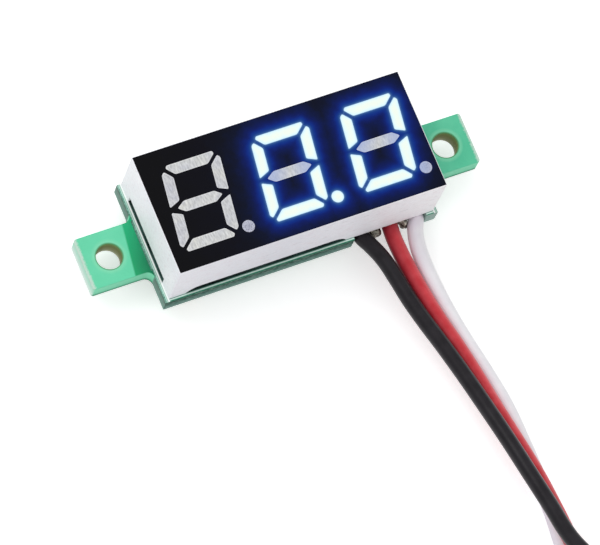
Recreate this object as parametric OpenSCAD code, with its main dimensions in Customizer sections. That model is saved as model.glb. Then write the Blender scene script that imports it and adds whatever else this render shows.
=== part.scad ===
// Three-digit LED panel voltmeter on a circuit board with two mounting ears and three leads.
// Millimetres. The origin is under the middle of the board, on the surface that the cut pins stand on.

/* [Display] */
// Length of the display housing
display_l = 22.5; // [22.4:0.1:26]
// Width of the display housing
display_w = 10; // [9.6:0.1:12]
// Height of the display housing above the board
display_h = 5.6; // [3.4:0.1:9]
// Thickness of the housing's skirt
skirt_t = 0.6; // [0.4:0.05:0.8]
// Width of the white rim that is left round the face film
rim_w = 0.15; // [0.1:0.05:0.3]
// Thickness of the black face film
film_t = 0.1; // [0.05:0.05:0.3]
// Height of the slots that lift the display off the board
slot_h = 0.8; // [0.6:0.05:1.5]
// Radius of the arches at the ends of the front and back slots
slot_arch_r = 1.2; // [0.9:0.1:1.3]
// Length of the two left feet along the front and back
foot_left_l = 1.3; // [1:0.1:2.5]
// Length of the right foot along the back
foot_right_l = 1.3; // [1:0.1:2.5]
// Length of the low front wall over the leads
lead_wall_l = 7.45; // [7.2:0.05:9]
// Length of the front feet along the ends
foot_front_w = 1.4; // [0.9:0.1:2.5]
// Length of the back feet along the ends
foot_back_w = 1.5; // [0.9:0.1:2.5]

/* [Digits] */
// Number of digits
digit_count = 3; // [1:1:3]
// Distance from one digit to the next
digit_pitch = 7.5; // [7.3:0.05:7.6]
// Width of a digit across its upright segments
digit_w = 4.88; // [4.2:0.02:5]
// Height of a digit
digit_h = 7.04; // [6:0.02:7.6]
// Width of a segment
segment_t = 0.87; // [0.5:0.01:1]
// Gap between neighbouring segments
segment_gap = 0.3; // [0.15:0.01:0.4]
// Gap between the upper and the lower upright segments
waist_gap = 0.4; // [0.2:0.02:0.6]
// Slope of the upright segments' waist ends, in degrees
waist_slope = 23.5; // [10:0.5:30]
// Size of the blunted segment tips
nib = 0.22; // [0.1:0.01:0.25]
// Length cut from each segment corner to round it
corner_cut = 0.12; // [0.04:0.01:0.15]
// Lean of the digits, in degrees
digit_lean = 8; // [0:0.5:9]
// Diameter of a decimal point
point_d = 0.98; // [0.6:0.02:1]
// Distance of a decimal point to the right of its digit's middle
point_x = 2.77; // [2.75:0.01:2.9]
// Distance of a decimal point below its digit's middle
point_y = 3.1; // [3:0.02:3.4]
// Thickness of the chip board in the display
chip_board_t = 0.8; // [0.4:0.05:1.2]
// Gap round the chip board in the skirt
chip_board_fit = 0.05; // [0:0.01:0.15]
// Side of an LED die
die_l = 0.3; // [0.15:0.05:0.4]
// Height of an LED die
die_t = 0.12; // [0.08:0.02:0.2]

/* [Circuit board] */
// Thickness of the board
board_t = 1.6; // [1.4:0.1:2]
// Height of the board's underside above the pin tips
board_z = 1.8; // [1.7:0.05:4]
// How far the board stands out past each end of the display
end_overhang = 0.35; // [0.15:0.05:1]
// How far the board stands out in front of the display
front_overhang = 0.23; // [0:0.01:0.4]
// How far the board stands out behind the display
back_overhang = 0; // [0:0.02:2]
// Reach of a mounting ear past the board's end
ear_reach = 4.9; // [4:0.05:9]
// Width of a mounting ear
ear_w = 4.3; // [3.2:0.05:8]
// Place of the ears' middle line in front of (-) or behind the board's
ear_y = -0.15; // [-1:0.01:1]
// Corner radius of an ear
ear_corner_r = 0.2; // [0.1:0.05:1]
// Diameter of a mounting hole
hole_d = 2.1; // [1.6:0.1:2.6]
// Distance from an ear's tip to its hole's middle
hole_inset = 2.15; // [1.6:0.025:2.7]
// Depth of the scored line where an ear can be snapped off
score_depth = 0.1; // [0.05:0.01:0.14]
// Depth of the notch that the leads run through
notch_depth = 1.45; // [1.3:0.05:1.6]
// Room beside the outer leads in the notch
notch_room = 0.08; // [0.02:0.02:0.1]

/* [Display pins] */
// Number of pins in the back row; the front row has one fewer
pin_columns = 6; // [2:1:6]
// Distance between neighbouring pins
pin_pitch = 2.54; // [2.2:0.02:2.56]
// Distance from the display's long sides to the middle of its pins
pin_inset = 1.19; // [1.1:0.01:1.25]
// Diameter of a pin
pin_d = 0.5; // [0.3:0.05:0.6]
// Diameter of a plated hole in the board
via_d = 0.8; // [0.7:0.05:1]
// Diameter of a solder fillet
pad_d = 1.3; // [1.1:0.05:1.35]
// Height of a solder fillet
fillet_h = 0.9; // [0.4:0.05:1.2]

/* [Parts on the underside] */
// Length of the controller chip
controller_l = 4.9; // [4.7:0.1:5.2]
// Width of the controller chip without its leads
controller_w = 3.9; // [3.4:0.1:4.2]
// Height of the controller chip's moulding
controller_h = 1.45; // [1:0.05:1.5]
// Distance from the tips of the controller's leads to the solder of the display pins
lead_gap = 0.16; // [0.14:0.01:0.3]
// Number of leads on each side of the controller chip
lead_count = 8; // [4:1:8]
// Distance between the controller chip's leads
lead_pitch = 0.635; // [0.5:0.005:0.64]
// Length of the regulator's moulding
regulator_l = 4.5; // [3:0.1:4.6]
// Width of the regulator's moulding
regulator_w = 2.5; // [2:0.1:2.6]
// Height of the regulator's moulding
regulator_h = 1.5; // [1:0.1:1.6]
// Length of the diode's moulding
diode_l = 2.7; // [2:0.1:2.8]
// Width of the diode's moulding
diode_w = 1.6; // [1:0.1:1.7]
// Height of the diode's moulding
diode_h = 1.1; // [0.8:0.1:1.4]
// Length of a chip resistor or capacitor over its metal ends
chip_l = 1.6; // [1.2:0.1:1.8]
// Width of a chip resistor or capacitor
chip_w = 0.8; // [0.5:0.1:0.9]
// Height of a chip resistor
resistor_h = 0.45; // [0.3:0.05:0.6]
// Height of a chip capacitor
capacitor_h = 0.8; // [0.5:0.05:1]
// Length of a chip part's metal end
chip_end_l = 0.25; // [0.15:0.05:0.35]

/* [Calibration trimmer] */
// Length of the trimmer's body
trimmer_l = 3; // [2.8:0.1:3.1]
// Width of the trimmer's body
trimmer_w = 3.2; // [2.8:0.1:3.4]
// Height of the trimmer's body
trimmer_h = 1; // [0.9:0.05:1.1]
// Diameter of the rotor's head
rotor_d = 2.2; // [1.4:0.1:2.4]
// How far the rotor's head stands out of the body
rotor_proud = 0.2; // [0.1:0.05:0.3]
// Depth of the seat that the rotor's head turns in
seat_depth = 0.3; // [0.2:0.05:0.4]
// Diameter of the rotor's stem
stem_d = 0.8; // [0.5:0.05:1]
// Length of the rotor's stem
stem_l = 0.45; // [0.3:0.05:0.45]
// Running clearance of the stem in its bore
stem_fit = 0.05; // [0.02:0.01:0.1]
// Gap round the rotor's head in its seat
head_fit = 0.1; // [0.05:0.01:0.15]
// Width of the screwdriver cross
cross_w = 0.3; // [0.2:0.05:0.5]
// Depth of the screwdriver cross
cross_depth = 0.25; // [0.1:0.05:0.3]

/* [Leads] */
// Outside diameter of a lead
wire_d = 1.3; // [1:0.05:1.32]
// Diameter of a lead's copper
conductor_d = 0.5; // [0.3:0.05:0.6]
// Whole length of each lead's insulation
wire_l = 150; // [120:5:300]
// Length of the tinned end of a lead
tip_l = 3.5; // [1:0.5:3.5]
// Radius of the innermost lead's turns
coil_r = 6.5; // [6.2:0.1:8]
// Distance between neighbouring turns, beside and on each other
coil_pitch = 1.34; // [1.32:0.01:1.6]

/* [Hidden] */
$fn = 48;
cut = 0.5; // how far a cutting shape runs past the face that it cuts

board_l = display_l + 2 * end_overhang;
board_w = display_w + front_overhang + back_overhang;
ears_l = board_l + 2 * ear_reach;
board_top = board_z + board_t;
display_y = (front_overhang - back_overhang) / 2;

pipe_z = slot_h + chip_board_t; // where the light pipes stand, above the board
pipe_h = display_h - pipe_z;
inner_l = display_l - 2 * skirt_t;
inner_w = display_w - 2 * skirt_t;

LETTERS = ["a", "b", "c", "d", "e", "f", "g"];
digits = [0 : digit_count - 1];
function digit_x(i) = (i - (digit_count - 1) / 2) * digit_pitch - 0.05;

// Half sizes of a digit, and the places where its segments end
half_w = digit_w / 2;
half_h = digit_h / 2;
mitre = segment_gap / sqrt(2);
bar_tip = half_w - nib - mitre;
waist_out = waist_gap / 2;
waist_in = waist_out + segment_t * tan(waist_slope);

top_bar = [
    [-(half_w - segment_t - mitre), half_h - segment_t],
    [half_w - segment_t - mitre, half_h - segment_t],
    [bar_tip, half_h - nib],
    [bar_tip - nib / 2, half_h],
    [-(bar_tip - nib / 2), half_h],
    [-bar_tip, half_h - nib]
];
upright = [
    [half_w - segment_t, waist_in],
    [half_w, waist_out],
    [half_w, half_h - 2 * nib - mitre],
    [half_w - nib, half_h - nib - mitre],
    [half_w - segment_t, half_h - segment_t - mitre]
];
middle_bar = [
    [-(half_w - segment_t + segment_gap), 0],
    [-(half_w - segment_t - segment_gap), -segment_t / 2],
    [half_w - segment_t - segment_gap, -segment_t / 2],
    [half_w - segment_t + segment_gap, 0],
    [half_w - segment_t - segment_gap, segment_t / 2],
    [-(half_w - segment_t - segment_gap), segment_t / 2]
];

function flipped_x(points) = [for (i = [len(points) - 1 : -1 : 0]) [-points[i].x, points[i].y]];
function flipped_y(points) = [for (i = [len(points) - 1 : -1 : 0]) [points[i].x, -points[i].y]];
function leaning(points) = [for (p = points) [p.x + p.y * tan(digit_lean), p.y]];
function unit(v) = v / norm(v);
function curve(a, b, c, s) = (1 - s) * (1 - s) * a + 2 * s * (1 - s) * b + s * s * c;
function round_corner(before, p, after) =
    let (
        reach = min(corner_cut, norm(before - p) / 3, norm(after - p) / 3),
        start = p + reach * unit(before - p),
        end = p + reach * unit(after - p)
    )
    [for (s = [0, 0.5, 1]) curve(start, p, end, s)];
function rounded(points) =
    let (n = len(points))
    [for (i = [0 : n - 1]) each round_corner(points[(i + n - 1) % n], points[i], points[(i + 1) % n])];
SHAPES = [
    top_bar, upright, flipped_y(upright), flipped_y(top_bar),
    flipped_x(flipped_y(upright)), flipped_x(upright), middle_bar
];
function segment_outline(s) = rounded(leaning(SHAPES[s]));
function middle(points) = [for (p = points) 1] * points / len(points);

pin_row_gap = display_w - 2 * pin_inset;
controller_span = pin_row_gap - pad_d - 2 * lead_gap;
pin_x0 = -(pin_columns - 1) / 2 * pin_pitch;
pin_places = [
    for (row = [-1, 1]) for (c = [0 : pin_columns - (row < 0 ? 2 : 1)])
        [pin_x0 + c * pin_pitch, display_y + row * pin_row_gap / 2]
];

controller_at = [-2.3, display_y];
controller_lift = 0.1; // gap between the chip's moulding and the board
trimmer_at = [3.2, 0.1];
regulator_at = [-9.1, 0];
diode_at = [9.3, -1.1];
resistor_places = [[0.93, -1.3, 90], [0.93, 1.5, 90], [9.3, 0.7, 0], [9.3, 2, 0], [7.6, 3.7, 90], [-9.1, 4.2, 0]];
capacitor_places = [[-9.1, 2.95, 0], [-9.1, -3, 0], [-9.1, -4.3, 0], [9.9, 3.5, 0]];

// Profile of a lead that leaves a moulding half-way up and turns down onto the board:
// u runs outwards, v away from the board.
lead_t = 0.15;
function bent_lead(inner, outer, height) =
    let (knee = inner + (outer - inner) * 0.25, heel = inner + (outer - inner) * 0.45)
    [
        [inner, height + lead_t / 2], [knee + lead_t / 2, height + lead_t / 2], [heel + lead_t / 2, lead_t],
        [outer, lead_t], [outer, 0], [heel - lead_t / 2, 0], [knee - lead_t / 2, height - lead_t / 2],
        [inner, height - lead_t / 2]
    ];

// Routes of the leads, from the notch in the board's front edge to the coil
notch_y = notch_depth - board_w / 2;
strip_y = notch_y - 0.63; // where the insulation ends
wire_z = board_top - wire_d / 2 - 0.05;
black_route = [
    [5.15, strip_y, wire_z], [5.15, -4.85, wire_z], [5.4, -5.8, 2.7], [5.92, -7.1, 2.7], [6.4, -8.85, 2.7],
    [6.8, -10.9, 2.68], [7.26, -12.95, 2.65], [7.85, -15.2, 2.6], [8.5, -18, 2.58], [9.1, -21, 2.62],
    [9.6, -24, 2.84], [10, -27, 3.15], [10.45, -30, 3.32], [10.95, -33, 3.3], [12, -35.5, 3.05],
    [12.9, -38, 2.32], [13.45, -40.3, 1.35], [13.58, -42.3, 0.8], [13.58, -44, 0.65], [13.58, -46, 0.65],
    [13.58, -48, 0.65]
];
red_route = [
    [7.7, strip_y, wire_z], [7.7, -4.85, wire_z], [7.72, -5.6, 2.68], [7.8, -7, 2.6], [7.92, -8.85, 2.5],
    [8.14, -10.9, 2.35], [8.53, -12.95, 2.15], [9.08, -15.2, 1.92], [9.65, -18, 1.68], [10.12, -21, 1.55],
    [10.55, -24, 1.72], [10.92, -27, 1.92], [11.15, -30, 1.99], [11.35, -33, 1.97], [11.75, -35.5, 1.7],
    [12.15, -38, 1.15], [12.24, -40.3, 0.75], [12.24, -42.5, 0.65], [12.24, -45, 0.65], [12.24, -48, 0.65]
];
white_route = [
    [9.9, strip_y, wire_z], [9.9, -4.85, wire_z], [9.7, -5.6, 2.66], [9.42, -7, 2.5], [9.29, -8.85, 2.25],
    [9.44, -10.9, 1.85], [9.75, -12.95, 1.5], [10.2, -15.2, 1.15], [10.8, -18, 0.85], [11.25, -21, 0.68],
    [11.35, -24, 0.65], [11.35, -27, 0.65], [11.25, -30, 0.65], [10.95, -33, 0.65], [10.7, -36, 0.65],
    [10.8, -39, 0.65], [10.9, -42, 0.65], [10.9, -45, 0.65], [10.9, -48, 0.65]
];
routes = [white_route, red_route, black_route]; // in the coil's order, from the inside out
notch_left = black_route[0].x - wire_d / 2 - notch_room;
notch_right = white_route[0].x + wire_d / 2 + notch_room;

// A lead's copper turns down through the notch and lies on its pad under the board
drop_y = notch_y - conductor_d / 2 - 0.08;
lying_z = board_z - conductor_d / 2 - 0.02;
pad_y = notch_y + pad_d / 2 + 0.05;
lying_l = pad_y + 0.3 - drop_y;

// Coil: each lead has a lane of its own, and its turns climb a layer between two angles.
coil_at = [routes[0][len(routes[0]) - 1].x - coil_r, routes[0][len(routes[0]) - 1].y];
climb_from = 105;
climb_to = 62;
function lane_r(lane) = coil_r + lane * coil_pitch;
function route_l(p) = [for (i = [1 : len(p) - 1]) 1] * [for (i = [1 : len(p) - 1]) norm(p[i] - p[i - 1])];
function turns(lane) = (wire_l - route_l(routes[lane])) / (2 * PI * lane_r(lane));
function top_layer(lane) = floor(turns(lane) + climb_from / 360);
function end_angle(lane) = -360 * (turns(lane) - floor(turns(lane)));

// ---- Shared shapes ----

// A block that stands on z = 0, centred on the Z axis
module block(l, w, h) {
    translate([-l / 2, -w / 2, 0]) cube([l, w, h]);
}

// A block with rounded upright edges
module rounded_block(l, w, h, r) {
    block(l - 2 * r, w, h);
    block(l, w - 2 * r, h);
    for (x = [-1, 1]) for (y = [-1, 1]) translate([x * (l / 2 - r), y * (w / 2 - r), 0]) cylinder(h = h, r = r);
}

// Puts a part on the board's underside, with its own +Z away from the board
module underside(at, turn = 0) {
    translate([at.x, at.y, board_z]) mirror([0, 0, 1]) rotate(turn) children();
}

// A moulding whose outer half narrows by the draft
module moulding(l, w, h, draft = 0.1) {
    function profile(s) =
        [[-s / 2, 0], [s / 2, 0], [s / 2, h / 2], [s / 2 - draft, h], [draft - s / 2, h], [-s / 2, h / 2]];
    intersection() {
        rotate([90, 0, 0]) linear_extrude(w, center = true) polygon(profile(l));
        rotate([90, 0, 90]) linear_extrude(l, center = true) polygon(profile(w));
    }
}

// A bent lead of the given width that runs out along +X
module lead(inner, outer, height, w) {
    rotate([90, 0, 0]) linear_extrude(w, center = true) polygon(bent_lead(inner, outer, height));
}

// ---- Circuit board ----

module circuit_board() color("mediumaquamarine") difference() {
    translate([0, 0, board_z]) {
        block(board_l, board_w, board_t);
        translate([0, ear_y, 0]) rounded_block(ears_l, ear_w, board_t, ear_corner_r);
    }
    for (x = [-1, 1]) translate([x * (ears_l / 2 - hole_inset), ear_y, board_z - cut])
        cylinder(h = board_t + 2 * cut, d = hole_d);
    for (p = pin_places) translate([p.x, p.y, board_z - cut]) cylinder(h = board_t + 2 * cut, d = via_d);
    translate([notch_left, -board_w / 2 - cut, board_z - cut])
        cube([notch_right - notch_left, notch_depth + cut, board_t + 2 * cut]);
    for (x = [-1, 1]) for (z = [board_z, board_top]) translate([x * board_l / 2, 0, z]) rotate([0, 45, 0])
        cube([score_depth * sqrt(2), board_w + 2 * cut, score_depth * sqrt(2)], center = true);
}

// ---- Display ----

// Outlines of every segment and point, for the cavities and the windows
module face_outlines() {
    for (i = digits) translate([digit_x(i), 0]) {
        for (s = [0 : 6]) polygon(segment_outline(s));
        translate([point_x, -point_y]) circle(d = point_d);
    }
}

// Slot between two feet, as seen from the front, arched at its ends
module slot_outline(right_foot) {
    left = foot_left_l - display_l / 2;
    right = display_l / 2 - right_foot;
    translate([left + slot_arch_r, -cut]) square([right - left - 2 * slot_arch_r, slot_h + cut]);
    for (x = [left + slot_arch_r, right - slot_arch_r]) translate([x, slot_h - slot_arch_r])
        circle(r = slot_arch_r);
    if (slot_h > slot_arch_r) translate([left, -cut]) square([right - left, slot_h - slot_arch_r + cut]);
}

module long_slot(y, right_foot) translate([0, y + skirt_t, 0]) rotate([90, 0, 0])
    linear_extrude(2 * skirt_t) slot_outline(right_foot);

module display_housing() color("white") translate([0, display_y, board_top]) difference() {
    block(display_l, display_w, display_h);
    translate([0, 0, display_h - film_t]) block(display_l - 2 * rim_w, display_w - 2 * rim_w, film_t + cut);
    translate([0, 0, -cut]) block(inner_l, inner_w, pipe_z + cut);
    translate([0, 0, pipe_z]) linear_extrude(pipe_h) face_outlines();
    long_slot(-display_w / 2, lead_wall_l);
    long_slot(display_w / 2, foot_right_l);
    translate([-display_l / 2 - cut, foot_front_w - display_w / 2, -cut])
        cube([display_l + 2 * cut, display_w - foot_front_w - foot_back_w, slot_h + cut]);
}

module face_film() color("black") translate([0, display_y, board_top + display_h - film_t]) difference() {
    block(display_l - 2 * rim_w, display_w - 2 * rim_w, film_t);
    translate([0, 0, -cut]) linear_extrude(film_t + 2 * cut) face_outlines();
}

module pipe_at(i) {
    translate([digit_x(i), display_y, board_top + pipe_z]) children();
}

module die(at) {
    translate(at) block(die_l, die_l, die_t);
}

module segment(i, s) color("gainsboro") pipe_at(i) difference() {
    linear_extrude(pipe_h) polygon(segment_outline(s));
    die(middle(segment_outline(s)));
}

module decimal_point(i) color("gainsboro") pipe_at(i) difference() {
    translate([point_x, -point_y, 0]) cylinder(h = pipe_h, d = point_d);
    die([point_x, -point_y]);
}

module led_dies() color("lightblue") for (i = digits) pipe_at(i) {
    for (s = [0 : 6]) die(middle(segment_outline(s)));
    die([point_x, -point_y]);
}

module chip_board() color("darkslategray") difference() {
    translate([0, display_y, board_top + slot_h])
        block(inner_l - 2 * chip_board_fit, inner_w - 2 * chip_board_fit, chip_board_t);
    for (p = pin_places) translate([p.x, p.y, board_top]) cylinder(h = display_h, d = pin_d);
}

module display_pins() color("silver")
    for (p = pin_places) translate(p) cylinder(h = board_top + pipe_z, d = pin_d);

// Solder that fills a plated hole and tapers onto what stands in it
module solder_joint(at, core_d) {
    translate([at.x, at.y, board_z]) rotate_extrude() polygon([
        [core_d / 2, board_t], [via_d / 2, board_t], [via_d / 2, 0], [pad_d / 2, 0],
        [pad_d * 0.36, -fillet_h * 0.3], [core_d / 2 + 0.06, -fillet_h * 0.75], [core_d / 2, -fillet_h]
    ]);
}

module pin_solder() color("silver") for (p = pin_places) solder_joint(p, pin_d);

// ---- Parts on the underside ----

module controller_chip() color("dimgray") underside(controller_at) difference() {
    translate([0, 0, controller_lift]) moulding(controller_l, controller_w, controller_h);
    translate([0.7 - controller_l / 2, 0.7 - controller_w / 2, controller_lift + controller_h - 0.1])
        cylinder(h = cut, d = 0.6);
}

module controller_leads() color("silver") underside(controller_at)
    for (side = [90, 270]) rotate(side) for (i = [0 : lead_count - 1])
        translate([0, (i - (lead_count - 1) / 2) * lead_pitch, 0])
            lead(controller_w / 2, controller_span / 2, controller_lift + controller_h / 2 - lead_t, 0.25);

module voltage_regulator() color("dimgray") underside(regulator_at, 90)
    moulding(regulator_l, regulator_w, regulator_h);

module regulator_leads() color("silver") underside(regulator_at, 90) {
    for (x = [-1, 0, 1]) translate([x * regulator_l / 3, -regulator_w / 2 - 0.4, 0]) block(0.45, 0.8, 0.4);
    translate([0, regulator_w / 2 + 0.3, 0]) block(1.75, 0.6, 0.4);
}

module protection_diode() color("dimgray") underside(diode_at) moulding(diode_l, diode_w, diode_h);

module diode_leads() color("silver") underside(diode_at) for (side = [0, 180])
    rotate(side) lead(diode_l / 2, diode_l / 2 + 0.5, diode_h / 2 - lead_t, 0.6);

module chip_body(place, h) {
    underside(place, place[2]) block(chip_l - 2 * chip_end_l, chip_w, h);
}

module chip_resistors() color("dimgray") for (p = resistor_places) chip_body(p, resistor_h);

module chip_capacitors() color("tan") for (p = capacitor_places) chip_body(p, capacitor_h);

module chip_end_pair(place, h) {
    for (side = [-1, 1]) underside(place, place[2])
        translate([side * (chip_l - chip_end_l) / 2, 0, 0]) block(chip_end_l, chip_w, h);
}

module chip_ends() color("silver") {
    for (p = resistor_places) chip_end_pair(p, resistor_h);
    for (p = capacitor_places) chip_end_pair(p, capacitor_h);
}

// ---- Calibration trimmer ----

seat_z = trimmer_h - seat_depth;
head_gap = 0.02; // between the rotor's head and the seat's floor

module trimmer_body() color("white") underside(trimmer_at) difference() {
    rounded_block(trimmer_l, trimmer_w, trimmer_h, 0.2);
    translate([0, 0, seat_z]) cylinder(h = seat_depth + cut, d = rotor_d + 2 * head_fit);
    translate([0, 0, seat_z + head_gap - stem_l - head_gap])
        cylinder(h = stem_l + cut, d = stem_d + 2 * stem_fit);
}

module trimmer_rotor() color("goldenrod") underside(trimmer_at) difference() {
    union() {
        translate([0, 0, seat_z + head_gap]) cylinder(h = trimmer_h + rotor_proud - seat_z - head_gap, d = rotor_d);
        translate([0, 0, seat_z + head_gap - stem_l]) cylinder(h = stem_l + head_gap, d = stem_d);
    }
    for (turn = [0, 90]) rotate(turn) translate([0, 0, trimmer_h + rotor_proud - cross_depth])
        block(rotor_d * 0.7, cross_w, cross_depth + cut);
}

module trimmer_terminals() color("silver") underside(trimmer_at) {
    for (x = [-1, 1]) translate([x * trimmer_l * 0.3, -trimmer_w / 2 - 0.15, 0]) block(0.6, 0.3, 0.35);
    translate([0, trimmer_w / 2 + 0.15, 0]) block(1.2, 0.3, 0.35);
}

// ---- Leads ----

module wire_conductors() color("silver") for (r = routes) translate([r[0].x, drop_y, 0]) {
    translate([0, 0, wire_z]) rotate([90, 0, 0]) cylinder(h = drop_y - strip_y, d = conductor_d);
    translate([0, 0, wire_z]) sphere(d = conductor_d);
    translate([0, 0, lying_z]) cylinder(h = wire_z - lying_z, d = conductor_d);
    translate([0, 0, lying_z]) sphere(d = conductor_d);
    translate([0, 0, lying_z]) rotate([-90, 0, 0]) cylinder(h = lying_l, d = conductor_d);
}

// A dome of solder over the end of each lead's copper, on its pad
module wire_solder() color("silver") for (r = routes) translate([r[0].x, 0, 0]) difference() {
    translate([0, pad_y, board_z]) rotate_extrude() polygon([
        [0, 0], [0, -0.74], [pad_d * 0.18, -0.68], [pad_d * 0.36, -0.45], [pad_d * 0.47, -0.12], [pad_d / 2, 0]
    ]);
    translate([0, drop_y, lying_z]) rotate([-90, 0, 0]) cylinder(h = lying_l, d = conductor_d);
}

// A closed tube along a route, with eight flat sides
module tube(route, d) {
    last = len(route) - 1;
    sides = 8;
    rings = [
        for (i = [0 : last]) let (
            along = unit(route[min(i + 1, last)] - route[max(i - 1, 0)]),
            up = unit(cross(along, [1, 0, 0])),
            side = cross(up, along)
        )
        for (k = [0 : sides - 1]) let (a = (k + 0.5) * 360 / sides)
            route[i] + d / 2 * (cos(a) * side + sin(a) * up)
    ];
    walls = [
        for (i = [0 : last - 1]) for (k = [0 : sides - 1]) let (n = (k + 1) % sides)
            [i * sides + k, i * sides + n, (i + 1) * sides + n, (i + 1) * sides + k]
    ];
    start = [for (k = [sides - 1 : -1 : 0]) k];
    end = [for (k = [0 : sides - 1]) last * sides + k];
    polyhedron(points = rings, faces = concat([start], walls, [end]));
}

// A ring of rectangular section about the coil's middle, or the sector of it that a sweep covers
module sector(r, w, low, high, start = 0, sweep = 360) {
    translate([coil_at.x, coil_at.y, low]) rotate(start)
        rotate_extrude(angle = sweep) translate([r - w / 2, 0]) square([w, high - low]);
}

// The outer shape of one lane's turns: the first layer is open where the leads run in under
// the second, and the last one ends with the lead.
module coil(lane) {
    r = lane_r(lane);
    top = top_layer(lane);
    top_sweep = 360 * (turns(lane) - top) + climb_from;
    difference() {
        sector(r, wire_d, 0, (top + 1) * coil_pitch);
        sector(r, 2 * wire_d, -cut, coil_pitch, 0, climb_to);
        sector(r, 2 * wire_d, top * coil_pitch, (top + 1) * coil_pitch + cut, climb_from, 360 - top_sweep);
    }
}

module tip(lane) color("silver") translate([coil_at.x, coil_at.y, top_layer(lane) * coil_pitch + wire_d / 2])
    rotate(end_angle(lane) - tip_l / lane_r(lane) * 180 / PI)
        rotate_extrude(angle = tip_l / lane_r(lane) * 180 / PI) translate([lane_r(lane), 0]) circle(d = conductor_d);

// ---- The whole meter ----

circuit_board();
display_housing();
face_film();
for (i = digits) for (s = [0 : 6])
    segment(i, s);
for (i = digits)
    decimal_point(i);
chip_board();
led_dies();
display_pins();
pin_solder();
controller_chip();
controller_leads();
voltage_regulator();
regulator_leads();
protection_diode();
diode_leads();
chip_resistors();
chip_capacitors();
chip_ends();
trimmer_body();
trimmer_rotor();
trimmer_terminals();
wire_conductors();
wire_solder();
color("black") tube(black_route, wire_d);  // black_wire
color("firebrick") tube(red_route, wire_d);  // red_wire
color("whitesmoke") tube(white_route, wire_d);  // white_wire
color("black") coil(2);  // black_coil
color("firebrick") coil(1);  // red_coil
color("whitesmoke") coil(0);  // white_coil
tip(2);  // black_tip
tip(1);  // red_tip
tip(0);  // white_tip
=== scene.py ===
import math
import random

import bmesh
import bpy
import numpy as np
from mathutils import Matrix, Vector


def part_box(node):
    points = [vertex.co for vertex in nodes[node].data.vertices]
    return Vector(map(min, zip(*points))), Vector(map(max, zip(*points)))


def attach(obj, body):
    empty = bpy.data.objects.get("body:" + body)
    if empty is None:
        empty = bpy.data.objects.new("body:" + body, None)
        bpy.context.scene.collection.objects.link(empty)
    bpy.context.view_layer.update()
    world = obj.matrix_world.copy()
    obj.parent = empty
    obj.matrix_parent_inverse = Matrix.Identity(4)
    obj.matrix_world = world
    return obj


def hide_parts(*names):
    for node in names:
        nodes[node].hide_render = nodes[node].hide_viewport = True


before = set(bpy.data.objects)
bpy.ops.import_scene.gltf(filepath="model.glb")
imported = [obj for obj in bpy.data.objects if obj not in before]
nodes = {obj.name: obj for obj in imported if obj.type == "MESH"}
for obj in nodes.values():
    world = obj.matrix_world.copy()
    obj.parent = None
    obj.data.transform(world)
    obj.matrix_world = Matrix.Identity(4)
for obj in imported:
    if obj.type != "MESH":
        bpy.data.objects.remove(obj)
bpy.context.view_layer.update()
scene = bpy.context.scene
mm = 0.001
touch = 1e-6  # metres within which two coordinates count as one
print("panel meter: frame loaded,", len(nodes), "solids")

# camera, floor and light
cameraSettings = {
    "location": (-110.81, -105.23, 360.86),  # mm
    "turn": (20.225, -10.070, -22.639),  # degrees
    "lens": 300,
    "sensor": 36,
    "clip": (0.01, 20),
}
lightSettings = {
    "worldStrength": 0.66,
    "floorHalf": 1.5,  # m
    "floorColor": (0.95, 0.95, 0.955, 1),
    "floorGlow": 0.42,
    "lamps": [  # name, location mm, aim mm, size mm, watts
        ("keySoftbox", (-190, 310, 420), (0, -8, 0), 420, 1.1),
        ("fillSoftbox", (-200, -340, 260), (0, -8, 0), 340, 0.36),
    ],
}
pureWhite = (1, 1, 1, 1)


def addNode(tree, kind, inputs=None, **settings):
    made = tree.nodes.new(kind)
    for key, value in settings.items():
        setattr(made, key, value)
    for socket, value in (inputs or {}).items():
        if isinstance(value, bpy.types.NodeSocket):
            tree.links.new(value, made.inputs[socket])
        else:
            made.inputs[socket].default_value = value
    return made


def mathNode(tree, kind, first, second=0.0, third=0.0):
    inputs = {0: first, 1: second, 2: third}
    return addNode(tree, "ShaderNodeMath", inputs, operation=kind).outputs[0]


def addCamera(settings):
    data = bpy.data.cameras.new("meterCamera")
    data.lens = settings["lens"]
    data.sensor_width = settings["sensor"]
    data.clip_start, data.clip_end = settings["clip"]
    camera = bpy.data.objects.new("meterCamera", data)
    camera.location = Vector(settings["location"]) * mm
    camera.rotation_euler = [math.radians(a) for a in settings["turn"]]
    scene.collection.objects.link(camera)
    scene.camera = camera


def seenBy(tree, *rays):
    path = addNode(tree, "ShaderNodeLightPath").outputs
    seen = path["Is %s Ray" % rays[0]]
    for ray in rays[1:]:
        seen = mathNode(tree, "MAXIMUM", seen, path["Is %s Ray" % ray])
    return seen


def addLights(settings):
    world = bpy.data.worlds.new("studio")
    scene.world = world
    world.use_nodes = True
    tree = world.node_tree
    tree.nodes.clear()
    seen = seenBy(tree, "Camera", "Transmission")
    strengths = (settings["worldStrength"], 1)
    plain, bright = (
        addNode(tree, "ShaderNodeBackground", {"Color": pureWhite, "Strength": strength}).outputs[0]
        for strength in strengths
    )
    both = addNode(tree, "ShaderNodeMixShader", {0: seen, 1: plain, 2: bright})
    addNode(tree, "ShaderNodeOutputWorld", {"Surface": both.outputs[0]})
    for name, place, aim, size, watts in settings["lamps"]:
        data = bpy.data.lights.new(name, "AREA")
        data.energy = watts
        data.size = size * mm
        lamp = bpy.data.objects.new(name, data)
        lamp.location = Vector(place) * mm
        lamp.rotation_euler = (Vector(aim) - Vector(place)).to_track_quat("-Z", "Y").to_euler()
        scene.collection.objects.link(lamp)


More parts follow.
